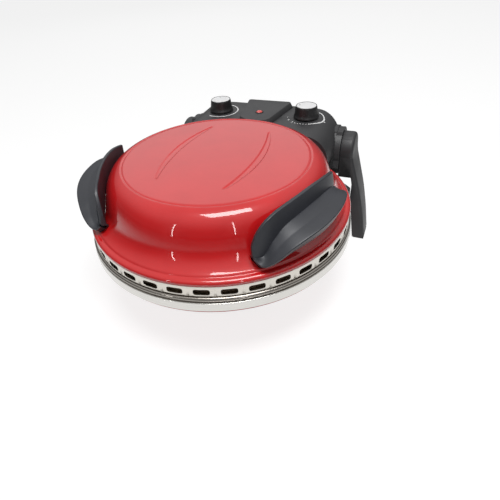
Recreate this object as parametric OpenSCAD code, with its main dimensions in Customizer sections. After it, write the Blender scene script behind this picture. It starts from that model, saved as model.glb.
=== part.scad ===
// Countertop pizza oven with a hinged, domed lid.
// Row frame: +X to the user's right, -Y to the front, +Z up, counter at Z = 0.
// The round body is centred on the ring axis, which lies in front of the row
// origin so that the origin is the middle of the footprint.

/* [Round body] */
// Outer radius of the stainless base ring
ring_r = 174.6; // [170:0.2:180]
// Height of the stainless base ring
ring_h = 18.8; // [16:0.2:22]
// Inset of the vented band from the base ring
band_in = 3.4; // [3.2:0.2:6]
// Height of the vented band
band_h = 13.6; // [12:0.2:16]
// Gap between the vented band and the base ring with the lid shut
seam_gap = 0.6; // [0.4:0.1:1.2]
// Thickness of the stainless bands
band_t = 1; // [0.8:0.1:1.2]
// Thickness of the enamelled steel sheet
sheet_t = 1.2; // [1:0.1:1.6]
// Thickness of the bright inner dishes
dish_t = 0.8; // [0.6:0.1:1]

/* [Vent slots] */
// Number of vent slots round the band
slot_count = 36; // [30:2:40]
// Length of one vent slot
slot_l = 18.5; // [14:0.5:20]
// Height of one vent slot
slot_h = 7.6; // [6:0.2:8.4]
// Corner radius of a vent slot
slot_corner = 2.8; // [1:0.2:3]

/* [Lid dome] */
// Reach of the rolled lip beyond the vented band
lip_out = 1.4; // [1.2:0.1:2.2]
// Height of the dome over the vented band
lid_h = 68; // [64:1:72]
// Width of the flare between the lip's edge and the wall
flare_w = 23.6; // [22:0.2:25]
// Width of the shoulder between the wall and the crease round the top plate
shoulder_w = 26; // [24:1:30]
// Half length of a pressed line on the top plate
press_half = 83; // [60:1:90]
// Distance of a pressed line from the middle, at its widest
press_x = 57.6; // [50:0.2:62]
// Bow of a pressed line
press_bow = 14.5; // [8:0.5:18]

/* [Base pan] */
// Height of the pan's floor over the counter
foot_h = 22; // [18:1:26]
// Depth of the pan below the base ring
pan_depth = 65; // [62:1:68]
// Distance of the pan's flat floor inside the base ring
pan_slope_w = 68.6; // [64:0.2:74]

/* [Baking stone] */
// Distance of the stone's edge inside the base ring's face
stone_in = 19.6; // [17:0.2:23]
// Thickness of the baking stone
stone_t = 12; // [10:0.5:14]

/* [Heaters] */
// Radius of a heater's tube
tube_r = 3.25; // [3:0.25:4]
// Distance of the upper heater's loop inside the base ring's face
upper_loop_in = 69.6; // [66:0.2:76]
// Distance of the lower heater's loop inside the base ring's face
lower_loop_in = 79.6; // [75:0.2:86]
// Drop of the upper heater below the inner dish
upper_drop = 26; // [20:1:30]
// Rise of the lower heater over the inner dish
lower_rise = 20; // [16:1:24]
// Half angle of the gap in a heater's loop
loop_gap = 14; // [12:1:18]
// Radius of the bend between a loop and its leg
leg_bend = 10; // [8:1:12]

/* [Handles] */
// Angle that a handle spans round the lid
grip_sweep = 53.4; // [50:0.2:58]
// Height of the heat shield over the band, at its middle
shield_top = 73; // [70:1:76]
// Reach of the grip beyond the dome's wall
grip_out = 33; // [31:0.5:35]
// Thickness of the heat shield at its rim
shield_t = 4.4; // [3.6:0.2:5]
// Number of sections in a handle
grip_steps = 26; // [18:1:30]

/* [Control housing] */
// Half width of the housing without its collars
house_half = 121; // [119:0.5:123]
// Height of the housing's top face over the counter
house_top = 175; // [174:0.5:177]
// Rear face of the housing behind the hinge axis
house_out = 41; // [39:0.5:43]
// Radius of the big shoulders at the housing's ends
house_shoulder = 35; // [28:1:38]
// Wall of the housing
house_wall = 3; // [2.4:0.2:3.4]
// Width of the collar between the housing and a leg
collar_w = 8.4; // [7.8:0.2:9]
// Rise of the middle panel over the housing
panel_rise = 8; // [6:0.5:9]

/* [Controls] */
// Distance of a knob from the housing's end
knob_in = 49; // [46:1:53]
// Distance of the knobs before the hinge axis
knob_fore = 14; // [12:0.5:16]
// Radius of a knob's skirt
knob_r = 19; // [17:0.5:20]
// Radius of a knob's top
knob_top_r = 15.9; // [14:0.1:16.4]
// Height of a knob
knob_h = 19; // [17:0.5:20]
// Radius of the round lamp lens
lamp_r = 3.6; // [3:0.1:4.2]
// Distance of the lamp before the hinge axis
lamp_fore = 27; // [24:0.5:31]

/* [Hinge and legs] */
// Distance of the hinge axis behind the base ring's face
hinge_out = 20.4; // [19.8:0.2:21.4]
// Height of the hinge axis over the counter
hinge_z = 124; // [123:0.5:125]
// Radius of a leg's round head
head_r = 27; // [25:0.5:28]
// Radius of a hinge pin
pin_r = 5; // [4:0.5:6]
// Radial clearance of a hinge pin in the housing
pin_clear = 0.06; // [0.03:0.01:0.09]
// Width of a leg's head
head_w = 19; // [18:0.5:20]
// Splay of a leg's foot beyond its head
foot_splay = 33.5; // [31:0.5:35]
// Thickness of the rubber pads under the legs
pad_t = 3; // [2:0.5:4]

/* [Hidden] */
$fn = 96;

// Radii of the round body, from the base ring inwards
band_r = ring_r - band_in;
lip_r = band_r + lip_out;
wall_r = lip_r - flare_w;
top_r = wall_r - shoulder_w;
pan_floor_r = ring_r - pan_slope_w;
stone_r = ring_r - stone_in;
upper_loop_r = ring_r - upper_loop_in;
lower_loop_r = ring_r - lower_loop_in;

// Distances behind the ring axis
hinge_y = ring_r + hinge_out;
house_rear = hinge_y + house_out;
knob_y = hinge_y - knob_fore;
lamp_y = hinge_y - lamp_fore;

// The ring axis lies this far from the row origin, so that the footprint is centred
ring_y = -(house_rear - ring_r) / 2;

// Heights over the counter, from the bottom up
ring_z = foot_h + pan_depth;
ring_top = ring_z + ring_h;
band_z = ring_top + seam_gap;
dome_z = band_z + band_h;
shelf_z = ring_z + 2.6;
stone_z = shelf_z + band_t;

// General clearance between neighbouring pieces, and between the housing and a leg
gap = 0.3;
leg_gap = 2 * gap;

// Distances from the middle, out to the feet
cheek_w = 24;
knob_x = house_half - knob_in;
collar_half = house_half + collar_w;
head_in = collar_half + leg_gap;
head_out = head_in + head_w;
foot_out = head_out + foot_splay;
leg_in = head_out + 3.5;

// Reach of the grip from the ring axis
grip_reach = wall_r + grip_out;

// Point at t on a Bezier curve with three or four control points
function mix3(p, t) = p[0] * pow(1 - t, 2) + p[1] * 2 * t * (1 - t) + p[2] * pow(t, 2);
function mix4(p, t) = p[0] * pow(1 - t, 3) + p[1] * 3 * t * pow(1 - t, 2)
    + p[2] * 3 * pow(t, 2) * (1 - t) + p[3] * pow(t, 3);

// Unit normal on the left of the path at point i
function path_dir(p, i) = let(a = p[max(i - 1, 0)], b = p[min(i + 1, len(p) - 1)]) (b - a) / norm(b - a);
function left_of(d) = [-d[1], d[0]];
// The same path moved to its left by t
function moved(p, t) = [for (i = [0:len(p) - 1]) p[i] + left_of(path_dir(p, i)) * t];
function backwards(p) = [for (i = [len(p) - 1:-1:0]) p[i]];

// Half outline of a revolved sheet: a path and its offset
module sheet_outline(path, t) {
    polygon(concat(path, backwards(moved(path, t))));
}

module at_ring(z = 0) {
    translate([0, ring_y, z]) children();
}

// A shape drawn in the Y-Z plane, extruded along X from x0 to x1
module along_x(x0, x1) {
    translate([x0, 0, 0]) rotate([90, 0, 90]) linear_extrude(x1 - x0) children();
}

// A shape drawn in the X-Z plane, extruded along Y from y0 to y1
module along_y(y0, y1) {
    translate([0, y1, 0]) rotate([90, 0, 0]) linear_extrude(y1 - y0) children();
}

// Rectangle with its own radius at each corner: low left, low right, top right, top left
module round_rect(x0, y0, x1, y1, r) {
    corners = [[x0, y0, 1, 1], [x1, y0, -1, 1], [x1, y1, -1, -1], [x0, y1, 1, -1]];
    difference() {
        translate([x0, y0]) square([x1 - x0, y1 - y0]);
        for (k = [0:3]) {
            c = corners[k];
            if (r[k] > 0) {
                translate([c[0] + c[2] * r[k], c[1] + c[3] * r[k]]) corner_waste(r[k], c[2], c[3]);
            }
        }
    }
}

// The waste outside one rounded corner
module corner_waste(r, side_x, side_y) {
    difference() {
        translate([side_x > 0 ? -r - 1 : 0, side_y > 0 ? -r - 1 : 0]) square(r + 1);
        circle(r);
    }
}

// Dome of the lid: flare over the lip, then wall and shoulder up to the crease
lip_h = 7.6;
flare_r = lip_r - 7.6;
flare = [[flare_r, lip_h + 1.2], [flare_r - 13, lip_h + 9], [wall_r, lid_h * 0.44]];
shoulder = [[wall_r, lid_h * 0.44], [wall_r - 4, lid_h * 0.71], [wall_r - 9, lid_h * 0.94], [top_r, lid_h]];
lip = [for (a = [-30:15:75]) [lip_r - 6 + 6 * cos(a), lip_h / 2 - 0.6 + 4.2 * sin(a)]];
lip_path = concat([[lip_r - 0.8, 0]], lip, [[flare_r + 1.6, lip_h - 0.5], [flare_r + 0.8, lip_h - 0.2]]);
wall_path = concat([for (i = [0:6]) mix3(flare, i / 6)], [for (i = [1:10]) mix4(shoulder, i / 10)]);
dome_path = concat(lip_path, wall_path, [[0, lid_h]]);

// Outer radius of the dome at a height over the band
wall_table = [for (p = wall_path) [p[1], p[0]]];
function dome_r(h) = lookup(h, wall_table);

module lid_shell() {
    press_r = (pow(press_half, 2) + pow(press_bow, 2)) / (2 * press_bow);
    press_a = asin(press_half / press_r);
    color("firebrick") at_ring(dome_z) difference() {
        rotate_extrude() sheet_outline(dome_path, sheet_t);
        for (s = [0, 1]) {
            mirror([s, 0, 0]) translate([press_x - press_r, 4, lid_h + 1.8])
                rotate([0, 0, -press_a]) rotate_extrude(angle = 2 * press_a)
                    translate([press_r, 0]) circle(2.4);
            mirror([s, 0, 0]) handle_fixings(fixing_r + 0.2, fixing_l);
        }
        heater_legs(upper_loop_r, upper_z - dome_z);
    }
}

// One vent slot, drawn flat
module slot_shape() {
    r = slot_corner;
    square([slot_l - 2 * r, slot_h], center = true);
    square([slot_l, slot_h - 2 * r], center = true);
    for (x = [-1, 1], y = [-1, 1]) {
        translate([x * (slot_l / 2 - r), y * (slot_h / 2 - r)]) circle(r, $fn = 24);
    }
}

module vent_band() {
    slot_z = band_h - 4 - slot_h / 2;
    pitch = 360 / slot_count;
    color("gainsboro") at_ring(band_z) difference() {
        union() {
            rotate_extrude() translate([band_r - band_t, 0]) square([band_t, band_h - gap]);
            rotate_extrude() translate([band_r - skirt_in, band_h - gap - band_t])
                square([skirt_in - band_t / 2, band_t]);
        }
        for (i = [0:slot_count - 1]) {
            rotate([0, 0, 7.1 + i * pitch]) translate([band_r + 4, 0, slot_z])
                rotate([90, 0, -90]) linear_extrude(8) slot_shape();
        }
    }
}

// Bright dish inside the lid, with a skirt behind the vent slots
skirt_in = 5;
lid_dish_top = 56;
lid_dish_path = [[band_r - 3.5, 0], [band_r - 13, 0], [wall_r, 10], [wall_r - 9, 31], [wall_r - 20, 48],
    [wall_r - 34, lid_dish_top], [0, lid_dish_top]];
upper_z = dome_z + lid_dish_top - upper_drop;

module lid_dish() {
    color("silver") at_ring(dome_z) difference() {
        union() {
            rotate_extrude() sheet_outline(lid_dish_path, -dish_t);
            rotate_extrude() translate([band_r - skirt_in - dish_t - gap, 2 - band_h])
                square([dish_t, band_h - 2 + dish_t / 2]);
        }
        heater_legs(upper_loop_r, upper_z - dome_z);
    }
}

// Tubular heater: an open loop with two bends and two legs that leave to the rear, as far as end_r
module heater(loop_r, z, end_r) {
    leg_l = end_r - loop_r - leg_bend;
    translate([0, 0, z]) {
        rotate([0, 0, 90 + loop_gap]) rotate_extrude(angle = 360 - 2 * loop_gap)
            translate([loop_r, 0]) circle(tube_r, $fn = 48);
        for (s = [0, 1]) {
            mirror([s, 0, 0]) rotate([0, 0, 90 - loop_gap]) translate([loop_r + leg_bend, 0, 0]) {
                rotate([0, 0, 90]) rotate_extrude(angle = 90)
                    translate([leg_bend, 0]) circle(tube_r, $fn = 48);
                translate([0, leg_bend, 0]) rotate([0, 90, 0]) cylinder(h = leg_l, r = tube_r, $fn = 48);
            }
        }
    }
}

// Room for a heater's two legs, out to the back of the housing
leg_room = 0.8;

module heater_legs(loop_r, z) {
    translate([0, 0, z]) for (s = [0, 1]) {
        mirror([s, 0, 0]) rotate([0, 0, 90 - loop_gap]) translate([loop_r + leg_bend, leg_bend, 0])
            rotate([0, 90, 0]) cylinder(h = hinge_y + 10 - loop_r - leg_bend, r = tube_r + leg_room);
    }
}

module upper_heater() {
    color("dimgray") at_ring() heater(upper_loop_r, upper_z, wall_r + 12);
}

// A strap with a ring round the heater's tube, up to the dish at rise
clip_w = 6;
clip_t = 1.4;

module heater_clip(rise) {
    difference() {
        union() {
            rotate([90, 0, 0]) cylinder(h = clip_w, r = tube_r + 1, center = true);
            translate([-clip_t / 2, -clip_w / 2, tube_r]) cube([clip_t, clip_w, rise - tube_r]);
        }
        rotate([90, 0, 0]) cylinder(h = clip_w + 2, r = tube_r + 0.05, center = true);
    }
}

module upper_clips() {
    color("silver") at_ring(upper_z) for (a = [0, 180, 270]) {
        rotate([0, 0, a]) translate([upper_loop_r, 0, 0]) heater_clip(upper_drop - gap);
    }
}

// Thermostat bulb that lies under the lid dish, on two short posts
sensor_r = 2.5;
sensor_l = 60;
sensor_y = 30;
sensor_drop = 5;

module sensor_tube() {
    color("silver") at_ring(dome_z + lid_dish_top - sensor_drop) {
        translate([0, sensor_y, 0]) rotate([-90, 0, 0]) cylinder(h = sensor_l, r = sensor_r);
        for (y = [sensor_y + 8, sensor_y + sensor_l - 12]) {
            translate([-1.5, y, sensor_r - 0.1]) cube([3, 4, sensor_drop - sensor_r + 0.1 - gap]);
        }
    }
}

// Handles: values along the sweep, from the rear (0) to the front (1), for a dome 68 high
draw_k = lid_h / 68;
shield_rim = [[0, -7], [0.18, -2], [0.42, 0], [0.72, -3.5], [0.88, -10], [0.96, -22], [1, -36]];
shield_out = [[0, -1.4], [0.4, -3.4], [0.72, 1], [0.9, 7.5], [1, 9.5]];
seat_line = [[0, 41], [0.45, 41], [0.72, 30], [0.88, 16], [0.95, 13], [1, 22]];
edge_in = [[0, 23], [0.05, 15], [0.2, 6.5], [0.5, 0], [0.74, 1], [0.9, 6], [1, 19]];
edge_line = [[0, 42], [0.1, 50.5], [0.3, 52], [0.58, 47.5], [0.76, 38], [0.88, 24], [0.95, 17], [1, 23.5]];
join_line = [[0, 47], [0.14, 54.5], [0.36, 55.5], [0.56, 53], [0.72, 48.5], [0.84, 37], [0.92, 24], [1, 26]];
under_line = [[0, 34], [0.5, 32], [0.74, 25], [0.88, 13.5], [0.95, 10.5], [1, 20]];

// Smooth curve through a table of [place, value] pairs
function span(t, s) = max([for (i = [0:len(t) - 2]) if (i == 0 || t[i][0] <= s) i]);
function slope(t, i) = let(a = t[max(i - 1, 0)], b = t[min(i + 1, len(t) - 1)]) (b[1] - a[1]) / (b[0] - a[0]);
function curve(s, t) = let(
    i = span(t, s),
    w = t[i + 1][0] - t[i][0],
    u = (s - t[i][0]) / w,
    m0 = slope(t, i) * w,
    m1 = slope(t, i + 1) * w
) t[i][1] * (2 * pow(u, 3) - 3 * pow(u, 2) + 1) + m0 * (pow(u, 3) - 2 * pow(u, 2) + u)
    + t[i + 1][1] * (3 * pow(u, 2) - 2 * pow(u, 3)) + m1 * (pow(u, 3) - pow(u, 2));

// Section of a handle at place s along its sweep, as [radius, height over the band]
function grip_section(s) = let(
    top = shield_top + draw_k * curve(s, shield_rim),
    sr = wall_r + draw_k * curve(s, shield_out),
    seat = draw_k * curve(s, seat_line),
    er = grip_reach - draw_k * curve(s, edge_in),
    eh = draw_k * curve(s, edge_line),
    jh = min(draw_k * curve(s, join_line), top - 1.2),
    uh = draw_k * curve(s, under_line),
    low = min(seat, uh + 1),
    k = min(1, (eh - uh) / 14),
    half = shield_t / 2,
    tip = min(half, (top - jh) / 2),
    base_r = max(dome_r(seat) + gap, sr - half - 0.8)
) [
    [dome_r(low) + gap, low],
    [dome_r(seat) + gap, seat],
    [max(base_r, dome_r((seat + jh) / 2) + gap), max((seat + jh) / 2, seat + 0.4)],
    [sr - half, max(top - tip, seat + 0.8)],
    [sr - half * 0.5, max(top - tip * 0.3, seat + 0.9)],
    [sr + half * 0.5, max(top - tip * 0.3, seat + 0.9)],
    [sr + half, top - tip],
    [sr + half + 1.2, jh + (top - jh) * 0.25],
    [sr + half + 3.6, jh],
    [(sr + er) / 2 + 2, (jh + eh) / 2 - 0.8 * k],
    [er - 3, eh],
    [er - 0.6, eh - 1.2 * k],
    [er - 0.2, eh - 2.8 * k],
    [er - 3.4, eh - 5.6 * k],
    [er - 6, uh + 3 * k],
    [er - 9, uh + 0.6 * k],
    [(sr + er) / 2, uh],
    [dome_r(low) + 4, uh]
];

// Loft through all sections of the right-hand handle
module grip_loft() {
    n = len(grip_section(0));
    pts = [for (i = [0:grip_steps]) let(
        s = i / grip_steps,
        a = -s * grip_sweep
    ) for (p = grip_section(s)) [p[0] * cos(a), p[0] * sin(a), p[1]]];
    sides = [for (i = [0:grip_steps - 1], j = [0:n - 1]) let(k = (j + 1) % n)
        for (t = [[i * n + j, (i + 1) * n + k, (i + 1) * n + j], [i * n + j, i * n + k, (i + 1) * n + k]]) t];
    first = [for (j = [n - 1:-1:0]) j];
    last = [for (j = [0:n - 1]) grip_steps * n + j];
    polyhedron(points = pts, faces = concat([first], sides, [last]), convexity = 6);
}

fixing_angles = [-14, -36];
fixing_h = [45 * draw_k, 38 * draw_k];
fixing_r = 2;
fixing_l = 12;
screw_head_r = 3.8;

// Screw lines of a handle, from inside the dome wall into the handle
module handle_fixings(r, l) {
    for (k = [0, 1]) {
        rotate([0, 0, fixing_angles[k]]) translate([dome_r(fixing_h[k]) - 4, 0, fixing_h[k]])
            rotate([0, 90, 0]) cylinder(h = l, r = r, $fn = 32);
    }
}

module handle_right() {
    color("dimgray") at_ring(dome_z) difference() {
        grip_loft();
        handle_fixings(fixing_r + 0.2, fixing_l);
    }
}

module handle_left() {
    color("dimgray") at_ring(dome_z) mirror([1, 0, 0]) difference() {
        grip_loft();
        handle_fixings(fixing_r + 0.2, fixing_l);
    }
}

module handle_screws() {
    color("silver") at_ring(dome_z) for (s = [0, 1]) {
        mirror([s, 0, 0]) handle_fixings(fixing_r, fixing_l - 1);
        mirror([s, 0, 0]) for (k = [0, 1]) {
            rotate([0, 0, fixing_angles[k]]) translate([dome_r(fixing_h[k]) - 6.4, 0, fixing_h[k]])
                rotate([0, 90, 0]) cylinder(h = 2.4, r = screw_head_r, $fn = 32);
        }
    }
}

// Control housing: side view, front view and plan, each drawn once and set in by w
under_z = hinge_z - 16;
house_front = hinge_y - 83;
cheek_in = house_half - cheek_w;
cheek_r = head_r + 8;

module side_view(w) {
    round_rect(house_front + w, under_z + w, house_rear - w, house_top - w, [0, 14, 14 - w, 0]);
}

module front_view(w) {
    r = house_shoulder - w;
    round_rect(-house_half + w, -10, house_half - w, house_top - w, [0, 0, r, r]);
}

module plan_view(w) {
    intersection() {
        translate([-house_half + w, house_front + w]) square([2 * (house_half - w), house_rear]);
        circle(house_rear - w);
    }
}

module housing_block(w) {
    intersection() {
        along_x(-house_half, house_half) side_view(w);
        along_y(0, house_rear) front_view(w);
        linear_extrude(house_top) plan_view(w);
    }
}

// Round cheek of the housing round the hinge axis
module cheek_view(r) {
    translate([hinge_y, hinge_z]) circle(r);
    polygon([for (p = [[-0.46, 0.94], [-1.03, -0.57], [-0.94, -0.86], [-0.17, -0.94], [0, 0]])
        [hinge_y, hinge_z] + p * cheek_r]);
}

module dome_solid(extra) {
    translate([0, 0, dome_z]) rotate_extrude() polygon(concat([[0, -band_h - 2], [lip_r + extra, -band_h - 2]],
        [for (p = concat(lip_path, wall_path)) [p[0] + extra, p[1] + extra]], [[0, lid_h + extra]]));
}

module control_housing() {
    color("dimgray") at_ring() difference() {
        union() {
            difference() {
                housing_block(0);
                translate([-cheek_in, 0, 0]) cube([2 * cheek_in, hinge_y - 15, dome_z + 0.6]);
                translate([-house_half - 1, 0, 0]) cube([2 * house_half + 2, hinge_y - 45, dome_z + 9]);
                difference() {
                    housing_block(house_wall);
                    for (s = [-1, 1]) {
                        translate([s * (cheek_in + 15) - 18, 0, 0]) cube([36, 2 * hinge_y, 2 * house_top]);
                    }
                }
            }
            for (s = [0, 1]) {
                mirror([s, 0, 0]) along_x(cheek_in, house_half) cheek_view(cheek_r);
                mirror([s, 0, 0]) along_x(house_half, collar_half) cheek_view(cheek_r - 2);
            }
        }
        dome_solid(gap);
        for (s = [0, 1]) {
            mirror([s, 0, 0]) translate([house_half - pin_deep - 3, hinge_y, hinge_z])
                rotate([0, 90, 0]) cylinder(h = pin_deep + 3 + 2 * collar_w, r = pin_r + pin_clear);
            mirror([s, 0, 0]) translate([knob_x, knob_y, house_top - 8]) cylinder(h = 20, r = shaft_r + 1);
        }
        translate([0, lamp_y, house_top - 8]) cylinder(h = 20, r = lamp_r + gap);
        translate([-cover_half, cover_front, under_z - 1]) cube([2 * cover_half, cover_depth, house_wall + 2]);
        translate([-gland_x, gland_y - 12, gland_z]) rotate([-90, 0, 0]) cylinder(h = 20, r = gland_r + 0.1);
        heater_legs(upper_loop_r, upper_z);
    }
}

// Cover under the housing, let in flush
cover_half = house_half - 33;
cover_front = hinge_y - 9;
cover_depth = 26;
cover_t = 2.4;

module cover_holes(r, h) {
    for (x = [-1, 1], y = [0, 1]) {
        translate([x * (cover_half - 8), cover_front + 7 + y * (cover_depth - 14), under_z - 0.5])
            cylinder(h = h, r = r, $fn = 24);
    }
}

module housing_cover() {
    color("dimgray") at_ring() difference() {
        union() {
            translate([-cover_half + gap, cover_front + gap, under_z])
                cube([2 * (cover_half - gap), cover_depth - 2 * gap, cover_t]);
            translate([-cover_half - 3, cover_front - 1, under_z + house_wall + gap])
                cube([2 * (cover_half + 3), cover_depth + 2, 1.6]);
            translate([-cover_half + gap, cover_front + gap, under_z + cover_t - 0.1])
                cube([2 * (cover_half - gap), cover_depth - 2 * gap, 1.2]);
        }
        cover_holes(1.7, 10);
    }
}

module cover_screws() {
    color("silver") at_ring() {
        translate([0, 0, 0.4]) cover_holes(1.6, 7);
        translate([0, 0, -0.9]) cover_holes(3, 1.4);
    }
}

// Raised middle panel, tapered to the front and chamfered all round
panel_rear_half = 36;
panel_front_half = 24;
panel_rear = house_rear - 13;
panel_front = hinge_y - 55;
panel_chamfer = 4;

module panel_slice(grow, z) {
    translate([0, 0, z]) {
        for (s = [-1, 1]) {
            translate([s * (panel_rear_half - 4 + grow), panel_rear - 5, 0]) cylinder(h = 0.6, r = 4, $fn = 32);
            translate([s * (panel_front_half - 9 + grow), panel_front + 9, 0]) cylinder(h = 0.6, r = 9, $fn = 32);
        }
        translate([0, panel_front - grow, 0]) cylinder(h = 0.6, r = 8, $fn = 32);
    }
}

module centre_panel() {
    color("dimgray") at_ring() difference() {
        hull() {
            panel_slice(panel_chamfer, house_top);
            panel_slice(0, house_top + panel_rise - 0.6);
        }
        dome_solid(gap);
        translate([0, lamp_y, house_top - 1]) cylinder(h = 20, r = lamp_r + 0.05);
    }
}

module lamp_lens() {
    color("red") at_ring() {
        translate([0, lamp_y, house_top - 2]) cylinder(h = panel_rise + 2, r = lamp_r);
        translate([0, lamp_y, house_top + panel_rise]) cylinder(h = 1, r = lamp_r - 0.6);
    }
}

module lamp_body() {
    color("gray") at_ring() translate([0, lamp_y, house_top - 17]) cylinder(h = 15, r = lamp_r - 0.4);
}

// Switch bodies under the knobs
body_h = 20;
body_w = 34;
body_d = 32;
shaft_r = 3;

module switch_body(x) {
    difference() {
        translate([x - body_w / 2, knob_y - 14, house_top - house_wall - body_h]) cube([body_w, body_d, body_h]);
        translate([x, knob_y, 0]) cylinder(h = 2 * house_top, r = shaft_r + 0.5);
    }
}

module thermostat_body() {
    color("gray") at_ring() switch_body(knob_x);
}

module timer_body() {
    color("gray") at_ring() switch_body(-knob_x);
}

// Cord gland in the rear wall of the housing
gland_x = 30;
gland_r = 5.9;
gland_l = 9;
gland_rim = 0.9;
gland_rim_r = gland_r + 2;
gland_y = sqrt(pow(house_rear, 2) - pow(gland_x - gland_rim_r, 2)) + 0.05;
gland_z = hinge_z + 14;

module cord_gland() {
    color("black") at_ring() translate([-gland_x, gland_y - gland_l, gland_z]) rotate([-90, 0, 0]) difference() {
        union() {
            translate([0, 0, gland_l]) cylinder(h = gland_rim, r = gland_rim_r);
            cylinder(h = gland_l + gland_rim / 2, r = gland_r);
        }
        translate([0, 0, -1]) cylinder(h = gland_l + 5, r = gland_r - 2.3);
    }
}

// Knob: skirt, body and a flat top
knob_z = house_top + 0.8;

module knob_at(x) {
    at_ring() translate([x, knob_y, knob_z]) children();
}

module knob_form() {
    difference() {
        rotate_extrude() polygon([[0, 0], [knob_r, 0], [knob_r, 1.2], [knob_r - 1.4, 3.6],
            [knob_top_r + 0.5, knob_h - 2.4], [knob_top_r, knob_h - 1], [knob_top_r - 0.8, knob_h - 0.6],
            [0, knob_h - 0.6]]);
        translate([0, 0, -1]) cylinder(h = knob_h - 4, r = shaft_r);
        translate([0, 0, -1]) difference() {
            cylinder(h = knob_h - 6, r = knob_top_r - 3);
            cylinder(h = knob_h, r = 6);
        }
    }
}

module cap_form() {
    translate([0, 0, knob_h - 0.6]) cylinder(h = 0.6, r = knob_top_r - 1.2);
}

module shaft_form() {
    translate([0, 0, -14]) cylinder(h = knob_h + 8, r = shaft_r);
}

module thermostat_knob() { color("black") knob_at(knob_x) knob_form(); }
module thermostat_cap() { color("silver") knob_at(knob_x) cap_form(); }
module thermostat_shaft() { color("gray") knob_at(knob_x) shaft_form(); }
module timer_knob() { color("black") knob_at(-knob_x) knob_form(); }
module timer_cap() { color("silver") knob_at(-knob_x) cap_form(); }
module timer_shaft() { color("gray") knob_at(-knob_x) shaft_form(); }

// Base ring: a plain lower band, a groove, a rolled bead, and a shelf inside for the stone
bead_r = 3;
bead_z = ring_h - bead_r;
bead = [for (a = [-60:20:100]) [ring_r - bead_r - 0.4 + bead_r * cos(a), bead_z + bead_r * sin(a)]];
ring_path = concat([[ring_r - 0.2, 0], [ring_r, 0.8], [ring_r - 0.4, ring_h - 7.6],
    [ring_r - 1.6, ring_h - 7]], bead, [[ring_r - 6, ring_h - 1.2], [ring_r - 6.6, shelf_z - ring_z]]);

module base_ring() {
    shelf_in = stone_r - 7;
    color("gainsboro") at_ring(ring_z) union() {
        rotate_extrude() sheet_outline(ring_path, band_t);
        rotate_extrude() translate([shelf_in, shelf_z - ring_z])
            square([ring_r - 6.6 + band_t / 2 - shelf_in, band_t]);
    }
}

module baking_stone() {
    color("tan") at_ring(stone_z) rotate_extrude()
        polygon([[0, 0], [stone_r - 1.5, 0], [stone_r, 1.5], [stone_r, stone_t - 1.5],
            [stone_r - 1.5, stone_t], [0, stone_t]]);
}

// Bright dish under the stone
base_dish_depth = 43;
base_dish_in = 47;
base_dish_floor = shelf_z - base_dish_depth;
base_dish_path = [[stone_r + 9, shelf_z - gap], [stone_r - 3, shelf_z - gap], [stone_r - 9, shelf_z - 7],
    [stone_r - base_dish_in + 10, base_dish_floor + 6], [stone_r - base_dish_in, base_dish_floor],
    [0, base_dish_floor]];
lower_z = base_dish_floor + lower_rise;

module base_dish() {
    color("silver") at_ring() difference() {
        rotate_extrude() sheet_outline(base_dish_path, dish_t);
        heater_legs(lower_loop_r, lower_z);
    }
}

module lower_heater() {
    color("dimgray") at_ring() heater(lower_loop_r, lower_z, ring_r - 9.6);
}

module lower_clips() {
    color("silver") at_ring(lower_z) for (a = [0, 180, 270]) {
        rotate([0, 0, a]) translate([lower_loop_r, 0, 0]) mirror([0, 0, 1]) heater_clip(lower_rise - gap);
    }
}

// Base pan: a short rim under the ring, a sloping wall and a flat floor
pan_rim_r = ring_r - 2.2;
pan_path = [[0, foot_h], [pan_floor_r, foot_h], [pan_floor_r + 5, foot_h + 2.4], [pan_floor_r + 10, foot_h + 7.6],
    [pan_rim_r - 10, ring_z - 9], [pan_rim_r - 7, ring_z - 6.4], [pan_rim_r - 2, ring_z - 5],
    [pan_rim_r, ring_z - 4], [pan_rim_r, ring_z - 0.6]];

module base_pan() {
    color("firebrick") at_ring() difference() {
        rotate_extrude() sheet_outline(pan_path, sheet_t);
        heater_legs(lower_loop_r, lower_z);
        bracket_fixings(2.2, pocket_d);
    }
}

// Front feet, which the pan hides from above
foot_x = 62;
foot_y = -46;
foot_r = 9;

module front_feet() {
    color("black") at_ring() for (x = [-1, 1]) {
        translate([x * foot_x, foot_y, 0]) rotate_extrude()
            polygon([[0, 0], [foot_r, 0], [foot_r + 1, 1], [foot_r + 3, foot_h], [0, foot_h]]);
    }
}

// Outer wall of the pan as a solid, to fit the bracket round it
module pan_solid(extra) {
    rotate_extrude() polygon(concat([for (p = pan_path) [p[0] == 0 ? 0 : p[0] + extra, p[1]]], [[0, ring_z]]));
}

// Rear bracket between the legs, hugging the pan
bracket_top = hinge_z - 44;
bracket_h = 30;
bracket_low = bracket_top - bracket_h;
bracket_rear = hinge_y - 9;
bracket_front = hinge_y - 75;
bracket_step = bracket_h / 2;
pocket_half = 46;
pocket_d = 30;
pan_table = [for (i = [3, 4]) [pan_path[i][1], pan_path[i][0]]];
bracket_screw_z = bracket_top - 8;
bracket_screw_r = lookup(bracket_screw_z - screw_head_r, pan_table) - 3.8;

module rear_bracket() {
    color("dimgray") at_ring() difference() {
        intersection() {
            translate([-leg_in, bracket_front, bracket_low])
                cube([2 * leg_in, bracket_rear - bracket_front, bracket_h]);
            cylinder(h = 2 * bracket_top, r = norm([leg_in, bracket_rear]) - 28.5);
        }
        pan_solid(gap);
        translate([-leg_in - 1, 0, bracket_top - bracket_step])
            cube([2 * leg_in + 2, bracket_front + 4, bracket_step + 1]);
        translate([-pocket_half, bracket_rear - pocket_d - 6, bracket_low - 1])
            cube([2 * pocket_half, pocket_d, bracket_h - 6]);
        heater_legs(lower_loop_r, lower_z);
        bracket_fixings(2.2, pocket_d);
    }
}

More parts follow.
